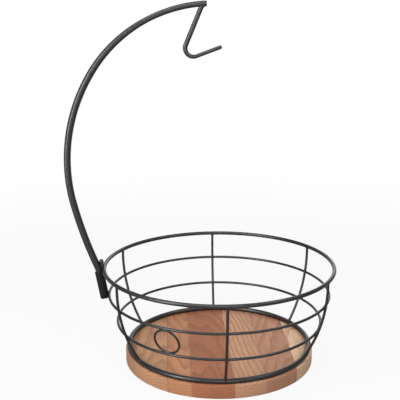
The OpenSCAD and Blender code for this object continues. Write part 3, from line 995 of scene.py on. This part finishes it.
class FRUITBOWL_OT_stage(bpy.types.Operator):
    """Builds the floor, the lights, the white surroundings and the camera"""

    bl_idname = "fruitbowl.stage"
    bl_label = "Stage"

    def execute(self, context):
        stage = context.scene.bowl_stage
        context.scene.view_settings.view_transform = "Standard"
        self.camera(context.scene, stage)
        self.surroundings(context.scene, stage)
        self.floor(stage)
        for name, looks in LAMPS.items():
            self.lamp(name, *looks)
        return {"FINISHED"}

    @staticmethod
    def camera(scene, stage):
        """The camera looks along +Y, turned by the yaw, the pitch and the roll."""
        data = bpy.data.cameras.new("camera")
        data.sensor_width, data.lens = 36.0, stage.lens
        data.clip_start, data.clip_end = 0.05, 50.0
        made = added("camera", data)
        turn = (Matrix.Rotation(-stage.yaw, 4, "Z")
                @ Matrix.Rotation(math.pi / 2 - stage.pitch, 4, "X")
                @ Matrix.Rotation(stage.roll, 4, "Z"))
        made.matrix_world = Matrix.Translation(stage.camera_at) @ turn
        scene.camera = made

    @staticmethod
    def seen(tree, in_gloss):
        """1 for rays from the camera, in_gloss for those that gloss or glass sends on, else 0."""
        path = node(tree, "LightPath").outputs
        sent_on = maths(tree, "MAXIMUM", path["Is Glossy Ray"], path["Is Transmission Ray"])
        return maths(tree, "MAXIMUM", path["Is Camera Ray"],
                     maths(tree, "MULTIPLY", sent_on, in_gloss))

    def surroundings(self, scene, stage):
        """A white backdrop, at full strength where it is seen. Gloss shows it behind the
        bowl and low down, and a greyer room in front of it and overhead."""
        world = bpy.data.worlds.new("white_room")
        world.use_nodes = True
        tree = world.node_tree
        way = node(tree, "SeparateXYZ", {0: node(tree, "TexCoord").outputs["Generated"]}).outputs
        low = mapped(tree, way[2], 0.2, 0.5, 1.0, stage.room)
        behind = mapped(tree, way[1], 0.7, 1.0, stage.room, 1.0)
        strength = maths(tree, "MAXIMUM", stage.ambient,
                         self.seen(tree, maths(tree, "MINIMUM", low, behind)))
        tree.nodes["Background"].inputs["Color"].default_value = (1, 1, 1, 1)
        tree.links.new(strength, tree.nodes["Background"].inputs["Strength"])
        scene.world = world

    def floor(self, stage):
        """A round white floor: it takes the shadow near the bowl and fades to plain white.

        p(i, a) = r(i) (cos a, sin a, 0), with the radii falling to a point in the middle.
        """
        a = np.linspace(0, 2 * np.pi, 96, endpoint=False)
        radii = stage.floor_r * np.array([1, 0.6, 0.3, 0.15, 0.075])
        grid = np.multiply.outer(radii, np.stack([np.cos(a), np.sin(a), 0 * a], axis=1))
        here = numbered(grid)
        spots = np.concatenate([grid.reshape(-1, 3), [[0, 0, 0]]])
        faces = quads(here[:-1], here[1:]) + fan(here[-1], here.size)
        made = solid("floor", [(spots, faces)])
        made.data.materials.append(self.white_floor(stage))

    def white_floor(self, stage):
        """Matt white that glows where it is seen, in part near the bowl and fully far off.
        To the camera its matt part is paler than to the light that it sends back up."""
        material, tree, _, place = new_material("white_floor")
        away = node(tree, "VectorMath", {0: place}, operation="LENGTH").outputs["Value"]
        fade = mapped(tree, away, stage.floor_near, stage.floor_fade, stage.floor_glow, 1,
                      interpolation_type="SMOOTHSTEP")
        behind = mapped(tree, node(tree, "SeparateXYZ", {0: place}).outputs[1], 0, 1, 0, 1)
        glow = maths(tree, "MULTIPLY", fade, self.seen(tree, behind))
        matt = mapped(tree, node(tree, "LightPath").outputs["Is Camera Ray"], 0, 1,
                      stage.floor_bounce, stage.floor_tone)
        matt = node(tree, "BsdfDiffuse", {"Color": matt}).outputs[0]
        white = node(tree, "Emission", {"Color": (1, 1, 1, 1), "Strength": 1.0}).outputs[0]
        mixed = node(tree, "MixShader", {0: glow, 1: matt, 2: white}).outputs[0]
        tree.links.new(mixed, tree.nodes["Material Output"].inputs["Surface"])
        return material

    @staticmethod
    def lamp(name, place, size, power):
        """A soft light, given by its place, width and height, and power."""
        data = bpy.data.lights.new(name, "AREA")
        data.shape, data.energy = "RECTANGLE", power
        data.size, data.size_y = size
        made = added(name, data)
        way = Vector(LIT_POINT) - Vector(place)
        turn = way.to_track_quat("-Z", "Y").to_matrix().to_4x4()
        made.matrix_world = Matrix.Translation(place) @ turn


OPERATORS = [
    FRUITBOWL_OT_rings, FRUITBOWL_OT_uprights, FRUITBOWL_OT_small_ring, FRUITBOWL_OT_socket,
    FRUITBOWL_OT_rest, FRUITBOWL_OT_arm, FRUITBOWL_OT_hook, FRUITBOWL_OT_welds,
    FRUITBOWL_OT_base, FRUITBOWL_OT_screws, FRUITBOWL_OT_stage,
]


class FRUITBOWL_PT_sidebar(bpy.types.Panel):
    """Lists the bowl's sizes and colours, and the operators that build it."""

    bl_idname = "FRUITBOWL_PT_sidebar"
    bl_label = "Fruit bowl"
    bl_space_type = "VIEW_3D"
    bl_region_type = "UI"
    bl_category = "Fruit bowl"

    def draw(self, context):
        for name, group in GROUPS.items():
            box = self.layout.box()
            box.label(text=group.__doc__)
            for entry in group.__annotations__:
                box.prop(getattr(context.scene, name), entry)
        for operator in OPERATORS:
            self.layout.operator(operator.bl_idname)


CLASSES = [*GROUPS.values(), *OPERATORS, FRUITBOWL_PT_sidebar]


def register():
    for kind in CLASSES:
        bpy.utils.register_class(kind)
    for name, group in GROUPS.items():
        setattr(bpy.types.Scene, name, PointerProperty(type=group))


def unregister():
    for name in GROUPS:
        delattr(bpy.types.Scene, name)
    for kind in reversed(CLASSES):
        bpy.utils.unregister_class(kind)


def main():
    register()
    for operator in OPERATORS:
        getattr(bpy.ops.fruitbowl, operator.bl_idname.split(".")[1])()


if __name__ == "__main__":
    main()
